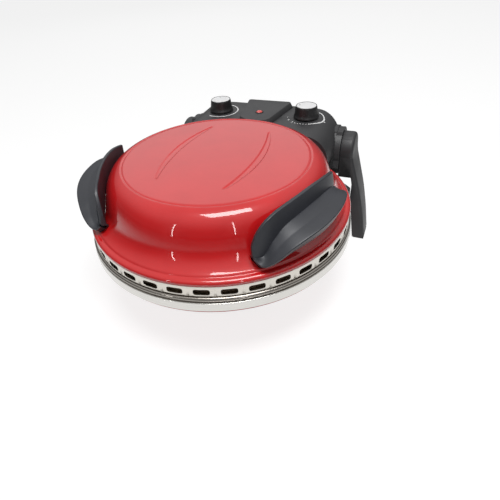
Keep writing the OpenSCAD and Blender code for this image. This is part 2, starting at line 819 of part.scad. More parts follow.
// Screw lines from inside the pan into the bracket
module bracket_fixings(r, l) {
    for (s = [-1, 1]) {
        rotate([0, 0, 90 + s * 24]) translate([bracket_screw_r, 0, bracket_screw_z])
            rotate([0, 90, 0]) cylinder(h = l, r = r, $fn = 32);
    }
}

module bracket_screws() {
    color("silver") at_ring() {
        bracket_fixings(2, 20);
        bracket_fixings(screw_head_r, 2);
    }
}

// Legs: a side view round the hinge axis, in head radii down to the shin, and a front view
foot_w = 18.5;
foot_front = hinge_y - 66;
foot_rear = hinge_y - 30;
leg_side = concat([for (p = [[-0.926, 0], [-0.593, 0.815], [0.444, 0], [0.926, -0.37], [-0.074, -2.593]])
    [hinge_y, hinge_z] + p * head_r], [[foot_rear, pad_t], [foot_front, pad_t]],
    [for (p = [[-1.852, -2.963], [-1.296, -1.259]]) [hinge_y, hinge_z] + p * head_r]);
knee_z = hinge_z - 1.259 * head_r;
leg_front = [[head_in, hinge_z + 2 * head_r], [head_in, knee_z], [leg_in - 2.5, knee_z], [leg_in, bracket_top],
    [leg_in, bracket_low], [leg_in + 5, bracket_low - 14], [foot_out - foot_w, pad_t], [foot_out, pad_t],
    [foot_out - 0.21 * foot_splay, 0.29 * hinge_z], [foot_out - 0.48 * foot_splay, 0.55 * hinge_z],
    [head_out + 0.24 * foot_splay, 0.766 * hinge_z], [head_out + 2, hinge_z - 12],
    [head_out, hinge_z - 4], [head_out - 1, hinge_z + 2 * head_r]];
pin_end = 4;

module leg() {
    difference() {
        intersection() {
            union() {
                along_x(head_in - 5, foot_out + 5) polygon(leg_side);
                translate([head_in - 5, hinge_y, hinge_z]) rotate([0, 90, 0])
                    cylinder(h = foot_out - head_in, r = head_r);
            }
            along_y(foot_front - 20, hinge_y + 2 * head_r) polygon(leg_front);
        }
        translate([head_in - 5, hinge_y, hinge_z]) rotate([0, 90, 0])
            cylinder(h = head_out - pin_end - head_in + 5, r = pin_r);
    }
}

module leg_right() {
    color("dimgray") at_ring() leg();
}

module leg_left() {
    color("dimgray") at_ring() mirror([1, 0, 0]) leg();
}

module leg_pads() {
    color("black") at_ring() for (s = [0, 1]) {
        mirror([s, 0, 0]) translate([foot_out - foot_w + 1, foot_front + 2, 0])
            cube([foot_w - 2, foot_rear - foot_front - 4, pad_t]);
    }
}

pin_deep = 13;

module hinge_pins() {
    color("silver") at_ring() for (s = [0, 1]) {
        mirror([s, 0, 0]) translate([house_half - pin_deep, hinge_y, hinge_z])
            rotate([0, 90, 0]) cylinder(h = head_out - pin_end - house_half + pin_deep, r = pin_r);
    }
}

lid_shell();
vent_band();
lid_dish();
upper_heater();
upper_clips();
sensor_tube();
handle_right();
handle_left();
handle_screws();
control_housing();
housing_cover();
cover_screws();
centre_panel();
lamp_lens();
lamp_body();
thermostat_body();
timer_body();
cord_gland();
thermostat_knob();
thermostat_cap();
thermostat_shaft();
timer_knob();
timer_cap();
timer_shaft();
base_ring();
baking_stone();
base_dish();
lower_heater();
lower_clips();
base_pan();
front_feet();
rear_bracket();
leg_right();
leg_left();
leg_pads();
hinge_pins();
bracket_screws();
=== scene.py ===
# %% [markdown]
# # A countertop pizza oven, dressed in Blender
# A countertop pizza oven is a stone in a steel ring, with a heater under it and another in a domed,
# enamelled lid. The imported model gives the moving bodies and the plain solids. This lesson puts smooth,
# finished pieces over those solids, one at a time, and gives each its own finish.

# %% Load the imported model
import math
import bpy
from mathutils import Matrix, Vector


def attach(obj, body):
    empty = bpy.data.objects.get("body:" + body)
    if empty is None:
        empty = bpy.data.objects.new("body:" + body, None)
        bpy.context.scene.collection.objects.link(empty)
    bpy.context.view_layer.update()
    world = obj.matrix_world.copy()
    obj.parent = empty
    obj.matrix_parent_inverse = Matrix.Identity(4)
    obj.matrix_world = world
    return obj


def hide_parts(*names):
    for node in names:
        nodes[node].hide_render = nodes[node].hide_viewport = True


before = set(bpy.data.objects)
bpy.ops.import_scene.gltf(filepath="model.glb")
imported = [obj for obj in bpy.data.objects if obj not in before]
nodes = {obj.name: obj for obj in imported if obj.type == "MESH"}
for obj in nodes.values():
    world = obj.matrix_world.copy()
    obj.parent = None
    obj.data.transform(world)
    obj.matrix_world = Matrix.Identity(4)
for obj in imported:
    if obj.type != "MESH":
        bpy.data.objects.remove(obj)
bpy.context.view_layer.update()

# %% [markdown]
# ## The camera
# The photograph is taken from the right and from above, and held a little tilted. The eye point and the
# focal length were worked out from the round ring and its vent slots. A small shift puts the oven where
# it stands in the picture, without turning the camera.

# %% Camera
eye = Vector((0.2282, -0.4836, 0.4347))
aim = Vector((0, -0.0307, 0.112))
tilt = math.radians(-5.4)
ahead = (aim - eye).normalized()
right = ahead.cross(Vector((0, 0, 1))).normalized()
up = right.cross(ahead)
turned_right = right * math.cos(tilt) + up * math.sin(tilt)
turned_up = up * math.cos(tilt) - right * math.sin(tilt)
camera_data = bpy.data.cameras.new("photo_camera")
camera_data.sensor_width = 36
camera_data.lens = 31.28
camera_data.shift_x = 0.0594
camera_data.shift_y = -0.091
camera_data.clip_start = 0.02
camera_data.clip_end = 50
camera = bpy.data.objects.new("photo_camera", camera_data)
bpy.context.scene.collection.objects.link(camera)
turn = Matrix((turned_right, turned_up, -ahead)).transposed().to_4x4()
camera.matrix_world = Matrix.Translation(eye) @ turn
bpy.context.scene.camera = camera
print("camera is", round((aim - eye).length, 3), "m from the oven")

# %% [markdown]
# ## Building nodes with less typing
# Every finish is a small node tree. These helpers add a node, feed a socket, do a sum and open a new
# material, so that each finish below reads as a short list of what it is made of.

# %% Node helpers
def add_node(tree, kind, **settings):
    """Adds a node, then sets its properties, or its inputs where the name is that of an input."""
    node = tree.nodes.new(kind)
    for key, value in settings.items():
        label = key.replace("_", " ")
        if hasattr(node, key):
            setattr(node, key, value)
        else:
            node.inputs[label].default_value = value
    return node


def feed(tree, source, socket):
    """Links a socket to another node's output, or gives it a plain value."""
    if isinstance(source, bpy.types.NodeSocket):
        tree.links.new(source, socket)
    else:
        socket.default_value = source


def maths(tree, operation, *sources):
    """The output of a Math node that is fed from sockets or plain numbers."""
    node = add_node(tree, "ShaderNodeMath", operation=operation)
    for source, socket in zip(sources, node.inputs):
        feed(tree, source, socket)
    return node.outputs[0]


def ramp(tree, source, *limits):
    """A smooth step of a number. The limits are from min, from max, to min and to max."""
    step = add_node(tree, "ShaderNodeMapRange", interpolation_type="SMOOTHSTEP")
    for label, value in zip(("From Min", "From Max", "To Min", "To Max"), limits):
        step.inputs[label].default_value = value
    tree.links.new(source, step.inputs["Value"])
    return step.outputs[0]


def new_finish(name, **values):
    """A material with one Principled shader, its plain values set on the shader's own sockets."""
    finish = bpy.data.materials.new(name)
    finish.use_nodes = True
    shader = finish.node_tree.nodes["Principled BSDF"]
    for key, value in values.items():
        shader.inputs[key.replace("_", " ")].default_value = value
    return finish, finish.node_tree, shader


def colour(r, g, b):
    """Screen values from 0 to 255 as the linear colour that a shader reads."""
    return tuple(((v / 255 + 0.055) / 1.055) ** 2.4 if v > 10 else v / 3295 for v in (r, g, b)) + (1,)


# %% [markdown]
# ## The studio
# A pale floor and an even, pale sky light the oven softly. The sky is dimmer for diffuse light than for
# what metal and enamel mirror, so the colours stay true while the gloss still shows a white room. The
# floor glows a little, so it stays white and keeps only a soft shadow.

# %% Floor
FLOOR_GLOW = 0.8
bpy.ops.mesh.primitive_plane_add(size=24, location=(0, 0, 0))
floor = bpy.context.object
floor.name = "studio_floor"
floor_finish, tree, shader = new_finish("floor_white", Base_Color=(0.3, 0.3, 0.3, 1), Roughness=0.9,
    Specular_IOR_Level=0)
glow = tree.nodes.new("ShaderNodeEmission")
both = tree.nodes.new("ShaderNodeAddShader")
tree.links.new(shader.outputs[0], both.inputs[0])
tree.links.new(glow.outputs[0], both.inputs[1])
tree.links.new(both.outputs[0], tree.nodes["Material Output"].inputs["Surface"])
path = tree.nodes.new("ShaderNodeLightPath")
place = tree.nodes.new("ShaderNodeTexCoord")
reach = add_node(tree, "ShaderNodeVectorMath", operation="LENGTH")
tree.links.new(place.outputs["Object"], reach.inputs[0])
fade = ramp(tree, reach.outputs["Value"], 0.3, 1.1, FLOOR_GLOW, 0)
mirrored = maths(tree, "MULTIPLY", fade, path.outputs["Is Glossy Ray"])
plain = maths(tree, "MAXIMUM", path.outputs["Is Camera Ray"], path.outputs["Is Transmission Ray"])
seen = maths(tree, "MULTIPLY_ADD", plain, FLOOR_GLOW, mirrored)
tree.links.new(seen, glow.inputs["Strength"])
floor.data.materials.append(floor_finish)

# %% Sky
bpy.context.scene.view_settings.view_transform = "Standard"
world = bpy.data.worlds.new("studio_sky")
bpy.context.scene.world = world
world.use_nodes = True
tree = world.node_tree
sky = tree.nodes["Background"]
sky.inputs["Color"].default_value = (1, 1, 1, 1)
path = tree.nodes.new("ShaderNodeLightPath")
seen = maths(tree, "MAXIMUM", path.outputs["Is Camera Ray"], path.outputs["Is Glossy Ray"])
seen = maths(tree, "MAXIMUM", seen, path.outputs["Is Transmission Ray"])
place = tree.nodes.new("ShaderNodeTexCoord")
split = tree.nodes.new("ShaderNodeSeparateXYZ")
tree.links.new(place.outputs["Generated"], split.inputs[0])
height = ramp(tree, split.outputs["Z"], 0.1, 0.85, 0.16, 1)
walls = maths(tree, "MAXIMUM", height, path.outputs["Is Camera Ray"])
strength = add_node(tree, "ShaderNodeMix", data_type="FLOAT")
for source, socket in ((seen, 0), (0.24, 2), (walls, 3)):
    feed(tree, source, strength.inputs[socket])
tree.links.new(strength.outputs[0], sky.inputs["Strength"])

# %% Lamps
def area_lamp(name, at, toward, width, height, watts):
    """A flat soft lamp that faces a point."""
    data = bpy.data.lights.new(name, "AREA")
    data.shape = "RECTANGLE"
    data.size = width
    data.size_y = height
    data.energy = watts
    lamp = bpy.data.objects.new(name, data)
    lamp.location = at
    lamp.rotation_euler = (Vector(toward) - Vector(at)).to_track_quat("-Z", "Y").to_euler()
    lamp.visible_camera = False
    bpy.context.scene.collection.objects.link(lamp)
    return lamp


area_lamp("ceiling_panel", (0.32, -0.4, 1.75), (0.05, -0.12, 0.18), 0.9, 0.55, 22)
area_lamp("rear_window", (-1.05, 1.95, 1.35), (0, -0.03, 0.18), 1.7, 1.0, 3.2)
area_lamp("left_tube", (-0.72, -2.3, 0.62), (0.01, -0.17, 0.17), 0.035, 1.2, 2.4)
area_lamp("right_tube", (1.3, -1.75, 0.85), (0.07, -0.15, 0.17), 0.035, 1.3, 2.4)

# %% [markdown]
# ## Effects that several finishes share
# Real surfaces are never quite even. Three effects are built once as node groups: a fine relief, for
# moulded grain and for the orange peel of enamel; the circular marks that turning and polishing leave on
# round metal; and soft smudges. Each group gives only masks or normals, and each finish sets its own
# values.

# %% Group helper
def new_group(name, inputs, outputs):
    """An empty shader node group with number inputs, and outputs given as (label, kind)."""
    group = bpy.data.node_groups.new(name, "ShaderNodeTree")
    for label, value in inputs:
        socket = group.interface.new_socket(label, in_out="INPUT", socket_type="NodeSocketFloat")
        socket.default_value = value
    for label, kind in outputs:
        group.interface.new_socket(label, in_out="OUTPUT", socket_type=kind)
    return group, group.nodes.new("NodeGroupInput"), group.nodes.new("NodeGroupOutput")


def per_mm(group, source, label):
    """How many noise cells there are in a metre, for a size given in millimetres."""
    return maths(group, "DIVIDE", 1000, source.outputs[label])


# %% Fine relief
relief, start, end = new_group("fine_relief", [("Size", 1), ("Depth", 0.02), ("Detail", 2)],
    [("Normal", "NodeSocketVector"), ("Height", "NodeSocketFloat")])
place = relief.nodes.new("ShaderNodeTexCoord")
noise = add_node(relief, "ShaderNodeTexNoise", Roughness=0.55)
relief.links.new(place.outputs["Object"], noise.inputs["Vector"])
relief.links.new(per_mm(relief, start, "Size"), noise.inputs["Scale"])
relief.links.new(start.outputs["Detail"], noise.inputs["Detail"])
bump = add_node(relief, "ShaderNodeBump", Distance=0.001)
deep = maths(relief, "MULTIPLY", noise.outputs["Fac"], start.outputs["Depth"])
relief.links.new(deep, bump.inputs["Height"])
relief.links.new(bump.outputs["Normal"], end.inputs["Normal"])
relief.links.new(noise.outputs["Fac"], end.inputs["Height"])

# %% Turned marks
MARK_R = 170  # mm: the radius where a mark's length is true
turned, start, end = new_group("turned_marks", [("Width", 0.4), ("Length", 40)],
    [("Mask", "NodeSocketFloat")])
place = turned.nodes.new("ShaderNodeTexCoord")
centre = add_node(turned, "ShaderNodeVectorMath", operation="SUBTRACT")
centre.inputs[1].default_value = (0, -0.0307, 0)
split = turned.nodes.new("ShaderNodeSeparateXYZ")
turned.links.new(place.outputs["Object"], centre.inputs[0])
turned.links.new(centre.outputs[0], split.inputs[0])
flat = add_node(turned, "ShaderNodeCombineXYZ")
turned.links.new(split.outputs["X"], flat.inputs["X"])
turned.links.new(split.outputs["Y"], flat.inputs["Y"])
radius = add_node(turned, "ShaderNodeVectorMath", operation="LENGTH")
turned.links.new(flat.outputs[0], radius.inputs[0])
angle = maths(turned, "ARCTAN2", split.outputs["Y"], split.outputs["X"])
lines = per_mm(turned, start, "Width")
wrapped = add_node(turned, "ShaderNodeCombineXYZ")
for label, source, scale in (("X", angle, maths(turned, "DIVIDE", MARK_R, start.outputs["Length"])),
        ("Y", radius.outputs["Value"], lines), ("Z", split.outputs["Z"], lines)):
    turned.links.new(maths(turned, "MULTIPLY", source, scale), wrapped.inputs[label])
streaks = add_node(turned, "ShaderNodeTexNoise", Scale=1, Detail=3, Roughness=0.6)
turned.links.new(wrapped.outputs[0], streaks.inputs["Vector"])
turned.links.new(streaks.outputs["Fac"], end.inputs["Mask"])

# %% Smudges
smudge, start, end = new_group("smudges", [("Size", 30), ("Low", 0.35), ("High", 0.65)],
    [("Mask", "NodeSocketFloat")])
place = smudge.nodes.new("ShaderNodeTexCoord")
cloud = add_node(smudge, "ShaderNodeTexNoise", Detail=4, Roughness=0.6)
smudge.links.new(place.outputs["Object"], cloud.inputs["Vector"])
smudge.links.new(per_mm(smudge, start, "Size"), cloud.inputs["Scale"])
level = smudge.nodes.new("ShaderNodeMapRange")
smudge.links.new(cloud.outputs["Fac"], level.inputs["Value"])
smudge.links.new(start.outputs["Low"], level.inputs["From Min"])
smudge.links.new(start.outputs["High"], level.inputs["From Max"])
smudge.links.new(level.outputs[0], end.inputs["Mask"])
print("effects:", [g.name for g in bpy.data.node_groups])

# %% Using the effects
def use(tree, group, **values):
    """Places one of the groups in a finish, with its own values."""
    node = tree.nodes.new("ShaderNodeGroup")
    node.node_tree = group
    for label, value in values.items():
        node.inputs[label].default_value = value
    return node


def between(tree, mask, low, high, socket):
    """Lets a mask move a number socket between two values."""
    span = tree.nodes.new("ShaderNodeMapRange")
    span.inputs["To Min"].default_value = low
    span.inputs["To Max"].default_value = high
    tree.links.new(mask, span.inputs["Value"])
    tree.links.new(span.outputs[0], socket)


def blend(tree, mask, first, second):
    """Two colours, plain or from sockets, blended by a mask. A colour Mix has them as inputs 6 and 7."""
    mix = add_node(tree, "ShaderNodeMix", data_type="RGBA")
    for source, socket in ((mask, 0), (first, 6), (second, 7)):
        feed(tree, source, mix.inputs[socket])
    return mix.outputs[2]


def two_colours(tree, mask, first, second, shader):
    """Lets a mask blend two colours into a shader's base colour."""
    tree.links.new(blend(tree, mask, first, second), shader.inputs["Base Color"])


def stained(name, size, low, high, first, second, rough, **values):
    """A finish whose colour and roughness both follow soft smudges."""
    finish, tree, shader = new_finish(name, **values)
    mask = use(tree, smudge, Size=size, Low=low, High=high).outputs["Mask"]
    two_colours(tree, mask, first, second, shader)
    between(tree, mask, *rough, shader.inputs["Roughness"])
    return finish, tree, shader


# %% [markdown]
# ## Finishes
# The lid is red stove enamel: a deep colour under a clear, glossy skin with a trace of orange peel. The
# band is satin stainless steel with a warm tone and the ring under it is polished. Handles and housing are
# moulded in dark heat-proof plastic with a fine, even grain.

# %% Red enamel
red_enamel, tree, shader = new_finish("red_enamel", Roughness=0.3, Coat_Weight=1, Coat_Roughness=0.04,
    Specular_IOR_Level=0.15)
patches = use(tree, smudge, Size=45, Low=0.3, High=0.7)
two_colours(tree, patches.outputs["Mask"], (0.58, 0.008, 0.010, 1), (0.64, 0.011, 0.013, 1), shader)
peel = use(tree, relief, Size=2.4, Depth=0.006, Detail=1)
tree.links.new(peel.outputs["Normal"], shader.inputs["Normal"])

# %% Stainless steel, satin and polished
satin_steel, tree, shader = new_finish("satin_steel", Metallic=1)
marks = use(tree, turned, Width=0.35, Length=30).outputs["Mask"]
two_colours(tree, marks, (0.60, 0.57, 0.51, 1), (0.74, 0.71, 0.66, 1), shader)
between(tree, marks, 0.26, 0.42, shader.inputs["Roughness"])
wave = use(tree, relief, Size=18, Depth=0.03, Detail=1)
tree.links.new(wave.outputs["Normal"], shader.inputs["Normal"])

BEAD_Z = 0.1022  # the height that the ring's painted shade band is centred on
polished_steel, tree, shader = new_finish("polished_steel", Metallic=1)
marks = use(tree, turned, Width=0.6, Length=60).outputs["Mask"]
place = tree.nodes.new("ShaderNodeTexCoord")
split = tree.nodes.new("ShaderNodeSeparateXYZ")
tree.links.new(place.outputs["Object"], split.inputs[0])
# Painted shade and painted reflection: a band round the bead and its groove is coloured dark steel, where
# the real ring is shaded and mirrors dark surroundings.
off = maths(tree, "ABSOLUTE", maths(tree, "SUBTRACT", split.outputs["Z"], BEAD_Z))
painted_shade_band = ramp(tree, off, 0.0026, 0.0042, 1, 0)
bright = blend(tree, marks, (0.56, 0.55, 0.52, 1), (0.74, 0.73, 0.70, 1))
painted_shade_colour = blend(tree, marks, (0.12, 0.11, 0.10, 1), (0.42, 0.39, 0.35, 1))
two_colours(tree, painted_shade_band, bright, painted_shade_colour, shader)
between(tree, marks, 0.14, 0.26, shader.inputs["Roughness"])
wave = use(tree, relief, Size=22, Depth=0.06, Detail=2)
tree.links.new(wave.outputs["Normal"], shader.inputs["Normal"])

# %% Inner metals
dish_steel, tree, shader = new_finish("dish_steel", Metallic=1)
stain = use(tree, smudge, Size=60, Low=0.35, High=0.7)
two_colours(tree, stain.outputs["Mask"], (0.72, 0.71, 0.69, 1), (0.62, 0.55, 0.43, 1), shader)
marks = use(tree, turned, Width=0.8, Length=50)
between(tree, marks.outputs["Mask"], 0.2, 0.4, shader.inputs["Roughness"])

# Dark brown steel for the vent skirt: partly heat tint, partly painted shade that darkens the vent slots.
heat_tint_and_shade_steel = stained("heat_tint_and_shade_steel", 25, 0.3, 0.7, colour(84, 66, 56), colour(122, 98, 82),
    (0.45, 0.65), Metallic=0.6)[0]
heater_steel = stained("heater_steel", 12, 0.3, 0.7, (0.055, 0.052, 0.05, 1), (0.12, 0.105, 0.095, 1),
    (0.38, 0.6), Metallic=0.7)[0]
zinc = stained("zinc_plate", 4, 0.3, 0.7, (0.45, 0.45, 0.46, 1), (0.62, 0.62, 0.6, 1),
    (0.3, 0.5), Metallic=1)[0]

# %% Moulded plastics
def moulded(name, dark, light, rough, grain, depth):
    """Plastic with a fine mould grain and faint handling marks."""
    finish, tree, shader = stained(name, 35, 0.3, 0.7, dark + (1,), light + (1,), rough)
    skin = use(tree, relief, Size=grain, Depth=depth, Detail=2)
    tree.links.new(skin.outputs["Normal"], shader.inputs["Normal"])
    return finish


handle_plastic = moulded("handle_plastic", (0.026, 0.028, 0.034), (0.032, 0.034, 0.042),
    (0.36, 0.46), 0.5, 0.02)
housing_plastic = moulded("housing_plastic", (0.028, 0.028, 0.030), (0.034, 0.034, 0.036),
    (0.45, 0.55), 0.45, 0.03)
knob_plastic = moulded("knob_plastic", (0.010, 0.010, 0.011), (0.014, 0.014, 0.015),
    (0.32, 0.42), 0.4, 0.01)
inner_plastic = moulded("inner_plastic", (0.26, 0.25, 0.23), (0.32, 0.31, 0.28), (0.5, 0.6), 0.8, 0.02)
foot_rubber = moulded("foot_rubber", (0.018, 0.018, 0.018), (0.028, 0.028, 0.027),
    (0.7, 0.85), 0.6, 0.04)

# %% Knob cap, print and lamp
knob_cap = stained("knob_cap", 9, 0.3, 0.7, (0.80, 0.80, 0.80, 1), (0.86, 0.86, 0.87, 1), (0.3, 0.42))[0]
cap_rim = stained("cap_rim", 5, 0.3, 0.7, (0.06, 0.06, 0.065, 1), (0.09, 0.09, 0.095, 1), (0.15, 0.25))[0]
print_white = stained("print_white", 2, 0.25, 0.75, (0.70, 0.70, 0.70, 1), (0.82, 0.82, 0.82, 1),
    (0.4, 0.6))[0]
lamp_red = stained("lamp_red", 1.6, 0.35, 0.65, (0.55, 0.012, 0.01, 1), (0.85, 0.06, 0.04, 1),
    (0.1, 0.3), Coat_Weight=1, Coat_Roughness=0.05)[0]

# %% Baking stone
stone, tree, shader = new_finish("baking_stone")
grit = use(tree, relief, Size=1.1, Depth=0.25, Detail=5)
tree.links.new(grit.outputs["Normal"], shader.inputs["Normal"])
two_colours(tree, grit.outputs["Height"], colour(150, 128, 100), colour(214, 192, 160), shader)
between(tree, grit.outputs["Height"], 0.75, 0.95, shader.inputs["Roughness"])
print("finishes:", len(bpy.data.materials))

# %% [markdown]
# ## Tools for modelling in code
# Each piece starts as a primitive, is shaped in edit mode and is finished here. Everything is deselected
# first, because an operator works on all that is selected. Sizes below are in millimetres, and MM turns
# them into metres. AXIS is where the round body's axis stands.

# %% Modelling helpers
MM = 0.001
AXIS = Vector((0, -30.7 * MM, 0))


def into_edit(mode="VERT"):
    """Enters edit mode on the active piece."""
    bpy.ops.object.mode_set(mode="EDIT")
    bpy.ops.mesh.select_mode(type=mode)


def out_of_edit():
    bpy.ops.object.mode_set(mode="OBJECT")


def only(piece):
    """Selects one piece and makes it active."""
    bpy.ops.object.select_all(action="DESELECT")
    piece.select_set(True)
    bpy.context.view_layer.objects.active = piece


def select_none(piece):
    """Deselects all of a mesh, in object mode."""
    out_of_edit()
    for part in (piece.data.vertices, piece.data.edges, piece.data.polygons):
        part.foreach_set("select", [False] * len(part))


def pick(piece, test, kind="VERT"):
    """Selects the vertices or faces whose place passes a test, and stays in edit mode."""
    select_none(piece)
    if kind == "VERT":
        for v in piece.data.vertices:
            v.select = test(v.co)
    else:
        for f in piece.data.polygons:
            f.select = test(f)
    into_edit(kind)


def new_point(name, at):
    """A piece of one point, in edit mode, for extruding and spinning."""
    bpy.ops.object.select_all(action="DESELECT")
    bpy.ops.mesh.primitive_plane_add(size=MM, location=(0, 0, 0))
    piece = bpy.context.object
    piece.name = name
    into_edit()
    bpy.ops.mesh.select_all(action="SELECT")
    bpy.ops.mesh.merge(type="CENTER")
    bpy.ops.transform.translate(value=at)
    return piece


def close_up(piece, distance=0.01):
    """Merges doubled points and turns the faces outwards."""
    only(piece)
    into_edit()
    bpy.ops.mesh.select_all(action="SELECT")
    bpy.ops.mesh.remove_doubles(threshold=distance * MM)
    bpy.ops.mesh.normals_make_consistent(inside=False)
    out_of_edit()


def apply_all(piece):
    """Applies the piece's place and all its modifiers."""
    only(piece)
    bpy.ops.object.transform_apply(location=True, rotation=True, scale=True)
    for modifier in list(piece.modifiers):
        bpy.ops.object.modifier_apply(modifier=modifier.name)


def finish_piece(piece, body, cad, finish, sharp=35):
    """Gives the piece its shading, its finish and its body."""
    apply_all(piece)
    bpy.ops.object.shade_smooth_by_angle(angle=math.radians(sharp))
    piece.data.materials.clear()
    piece.data.materials.append(finish)
    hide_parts(*cad)
    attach(piece, body)
    print(piece.name, "has", len(piece.data.polygons), "faces")
    return piece


# %% [markdown]
# ## Turning a profile
# Most of the oven is sheet metal pressed round one axis. On a lathe the maker needs only the profile. In
# Blender one point is extruded along it, and the chain is spun round the axis. Corners given with a third
# number are rounded to about that radius.

# %% Profiles
def rounded(points, steps=6):
    """A chain of (radius, height) points, with each corner that has a third number rounded."""
    chain = []
    for i, point in enumerate(points):
        if len(point) == 2 or i in (0, len(points) - 1):
            chain.append(Vector(point[:2]))
            continue
        corner = Vector(point[:2])
        back = (Vector(points[i - 1][:2]) - corner).normalized()
        on = (Vector(points[i + 1][:2]) - corner).normalized()
        cut = point[2] / math.tan(back.angle(on) / 2)
        for k in range(steps + 1):
            t = k / steps
            chain.append(corner + back * cut * (1 - t) ** 2 + on * cut * t ** 2)
    return chain


def sheet_of(chain, thick):
    """Closed outline of a sheet: the chain, and the same chain moved to its left."""
    moved = []
    for i, point in enumerate(chain):
        way = (chain[min(i + 1, len(chain) - 1)] - chain[max(i - 1, 0)]).normalized()
        moved.append(point + Vector((-way.y, way.x)) * thick)
    return chain + moved[::-1]


def arc(centre, radius, first, last, steps):
    """Points of an arc, with its radius given along and up."""
    out = []
    for k in range(steps + 1):
        a = math.radians(first + (last - first) * k / steps)
        out.append(Vector((centre[0] + radius[0] * math.cos(a), centre[1] + radius[1] * math.sin(a))))
    return out


def bezier(points, steps):
    """Points on a Bezier curve with three or four control points, its first one left out."""
    out = []
    for k in range(1, steps + 1):
        row = [Vector(p) for p in points]
        while len(row) > 1:
            row = [a.lerp(b, k / steps) for a, b in zip(row, row[1:])]
        out.append(row[0])
    return out


# %% The lathe
def turned_piece(name, outline, centre=AXIS, steps=180):
    """Extrudes a point along a closed outline of (radius, height) in mm and spins it round an axis."""
    path = [centre + Vector((r * MM, 0, h * MM)) for r, h in outline]
    piece = new_point(name, path[0])
    for here, there in zip(path, path[1:] + path[:1]):
        bpy.ops.mesh.extrude_region_move(TRANSFORM_OT_translate={"value": there - here})
    bpy.ops.mesh.select_all(action="SELECT")
    bpy.ops.mesh.remove_doubles(threshold=0.001 * MM)
    bpy.ops.mesh.spin(steps=steps, angle=math.tau, center=centre, axis=(0, 0, 1))
    out_of_edit()
    close_up(piece)
    return piece


# %% [markdown]
# ## The lid
# The lid is one pressed sheet: a rolled lip, a flare, a wall, a soft shoulder and a flat top plate. The
# profile gives all of these. Two long shallow ribs are pressed into the top plate. The mesh is made finer
# only where they run, and a weight that fades across each rib tells a Displace modifier how far to move it.

# %% Lid profile
DOME = 120  # height of the band's top edge, where the lid's sheet starts
lip = arc((166.6, DOME + 3.2), (6, 4.2), -30, 80, 14)
flare = bezier([(165, DOME + 8.8), (152, DOME + 16.6), (149, DOME + 29.92)], 16)
shoulder = bezier([(149, DOME + 29.92), (145, DOME + 48.28), (140, DOME + 63.92), (123, DOME + 68)], 26)
plate = [Vector((r, DOME + h)) for r, h in ((122.2, 67.75), (121.5, 67.4), (120.9, 67.45), (120.2, 67.85))]
plate += [Vector((r, DOME + 68)) for r in [119.4] + list(range(116, 32, -4)) + [24, 12, 0]]
lid_outline = sheet_of(rounded([(171.8, DOME), (171.8, DOME + 0.6)]) + lip
    + [Vector((165.9, DOME + 7.5)), Vector((165.3, DOME + 8.2)), Vector((165, DOME + 8.8))]
    + flare + shoulder + plate, 1.2)
lid_skin = turned_piece("lid_skin", lid_outline, steps=192)
print("profile points:", len(lid_outline))

# %% Pressed ribs
RIB_HALF, RIB_X, RIB_BOW, RIB_WALL, RIB_AHEAD = 83, 57.6, 14.5, 1.7, 4
TOP_PLATE = (DOME + 60) * MM
rib_radius = (RIB_HALF ** 2 + RIB_BOW ** 2) / (2 * RIB_BOW)
rib_sweep = math.asin(RIB_HALF / rib_radius)


def rib_half_width(way):
    """Half of a rib's width: wide in its middle, narrow at both ends."""
    return 1.6 + 3.4 * math.cos(min(1, way) * math.pi / 2) ** 0.8


def rib_place(point):
    """A point's distance from the rib's middle line, and its share of the way from centre to end."""
    across = abs(point.x) / MM - RIB_X + rib_radius
    along = (point.y - AXIS.y) / MM - RIB_AHEAD
    return (abs(math.hypot(across, along) - rib_radius),
        abs(math.atan2(along, across)) / rib_sweep)


def rib_weight(point):
    """How much of the rib's depth a point gets: 1 on its flat bed, 0 outside it."""
    off, way = rib_place(point)
    inside = rib_half_width(way) - off
    if inside <= 0 or way >= 1 or point.z < TOP_PLATE:
        return 0
    t = min(1, inside / RIB_WALL)
    return t * t * (3 - 2 * t) * min(1, (1 - way) / 0.06)


def near_rib(face):
    """Faces of the top plate that lie under a rib or just beside it."""
    off, way = rib_place(face.center)
    return off < 7.5 and way < 1.06 and face.center.z > TOP_PLATE


only(lid_skin)
pick(lid_skin, near_rib, "FACE")
bpy.ops.mesh.subdivide(number_cuts=3)
out_of_edit()
rib_group = lid_skin.vertex_groups.new(name="ribs")
for v in lid_skin.data.vertices:
    w = rib_weight(v.co)
    if w > 0:
        rib_group.add([v.index], w, "REPLACE")
press = lid_skin.modifiers.new("press", "DISPLACE")
press.direction = "Z"
press.mid_level = 0
press.strength = -0.95 * MM
press.vertex_group = "ribs"
finish_piece(lid_skin, "lid", ["lid_shell"], red_enamel, 50)

# %% [markdown]
# ## The slotted band
# The band under the lid is a strip of stainless steel with a row of vent slots, rolled into a hoop. It is
# made in the same order here. One cell of the strip gets its slot by an inset, its corners are rounded by
# a bevel, and cuts across it let it bend. Then it is repeated and rolled with a Simple Deform modifier.

# %% One cell of the strip
BAND_R, BAND_H, BAND_LOW, BAND_THICK = 171.2, 13.3, 106.4, 1
SLOTS, SLOT_W, SLOT_H, SLOT_DROP, SLOT_CORNER = 36, 18.5, 7.6, 0.85, 2.8
EDGE_STRIP = 2  # mm: the strip that the inset leaves round the cell
pitch = math.tau * BAND_R / SLOTS
bpy.ops.object.select_all(action="DESELECT")
bpy.ops.mesh.primitive_plane_add(size=MM, location=(0, 0, 0), rotation=(math.pi / 2, 0, 0))
band = bpy.context.object
band.name = "slotted_band"
band.scale = (pitch, BAND_H, 1)
bpy.ops.object.transform_apply(location=True, rotation=True, scale=True)
into_edit("FACE")
bpy.ops.mesh.select_all(action="SELECT")
bpy.ops.mesh.inset(thickness=EDGE_STRIP * MM)
bpy.ops.transform.resize(value=(SLOT_W / (pitch - 2 * EDGE_STRIP), 1, SLOT_H / (BAND_H - 2 * EDGE_STRIP)))
